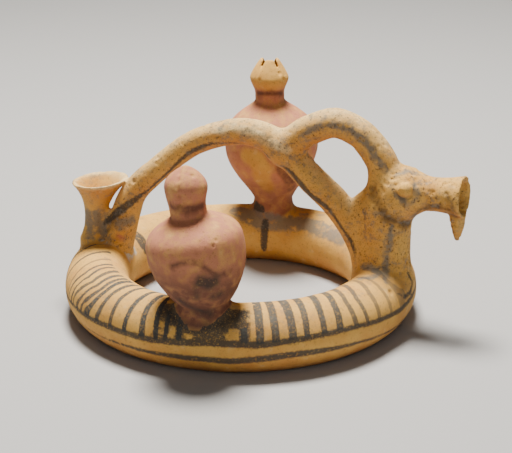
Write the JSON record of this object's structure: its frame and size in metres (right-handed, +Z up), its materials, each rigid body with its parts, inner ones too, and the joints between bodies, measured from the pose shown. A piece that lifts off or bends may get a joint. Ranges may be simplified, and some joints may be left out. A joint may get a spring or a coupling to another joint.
{
  "type": "ring vessel",
  "caption": "Hollow clay ring vessel with a funnel, a basket handle, a neck with an animal head spout, a loop handle and two pomegranates.",
  "frame": {"origin": "middle of the vessel's box on its resting plane", "axes": "+X toward the spout, -X toward the funnel, -Y toward the shorter pomegranate in front, +Z up"},
  "size_m": [0.2262, 0.2158, 0.1258],
  "materials": {
    "fired_clay": "matt, unglazed, worn dark paint"
  },
  "bodies": {
    "root": {"ring_vessel": "fired_clay"}
  },
  "joints": []
}
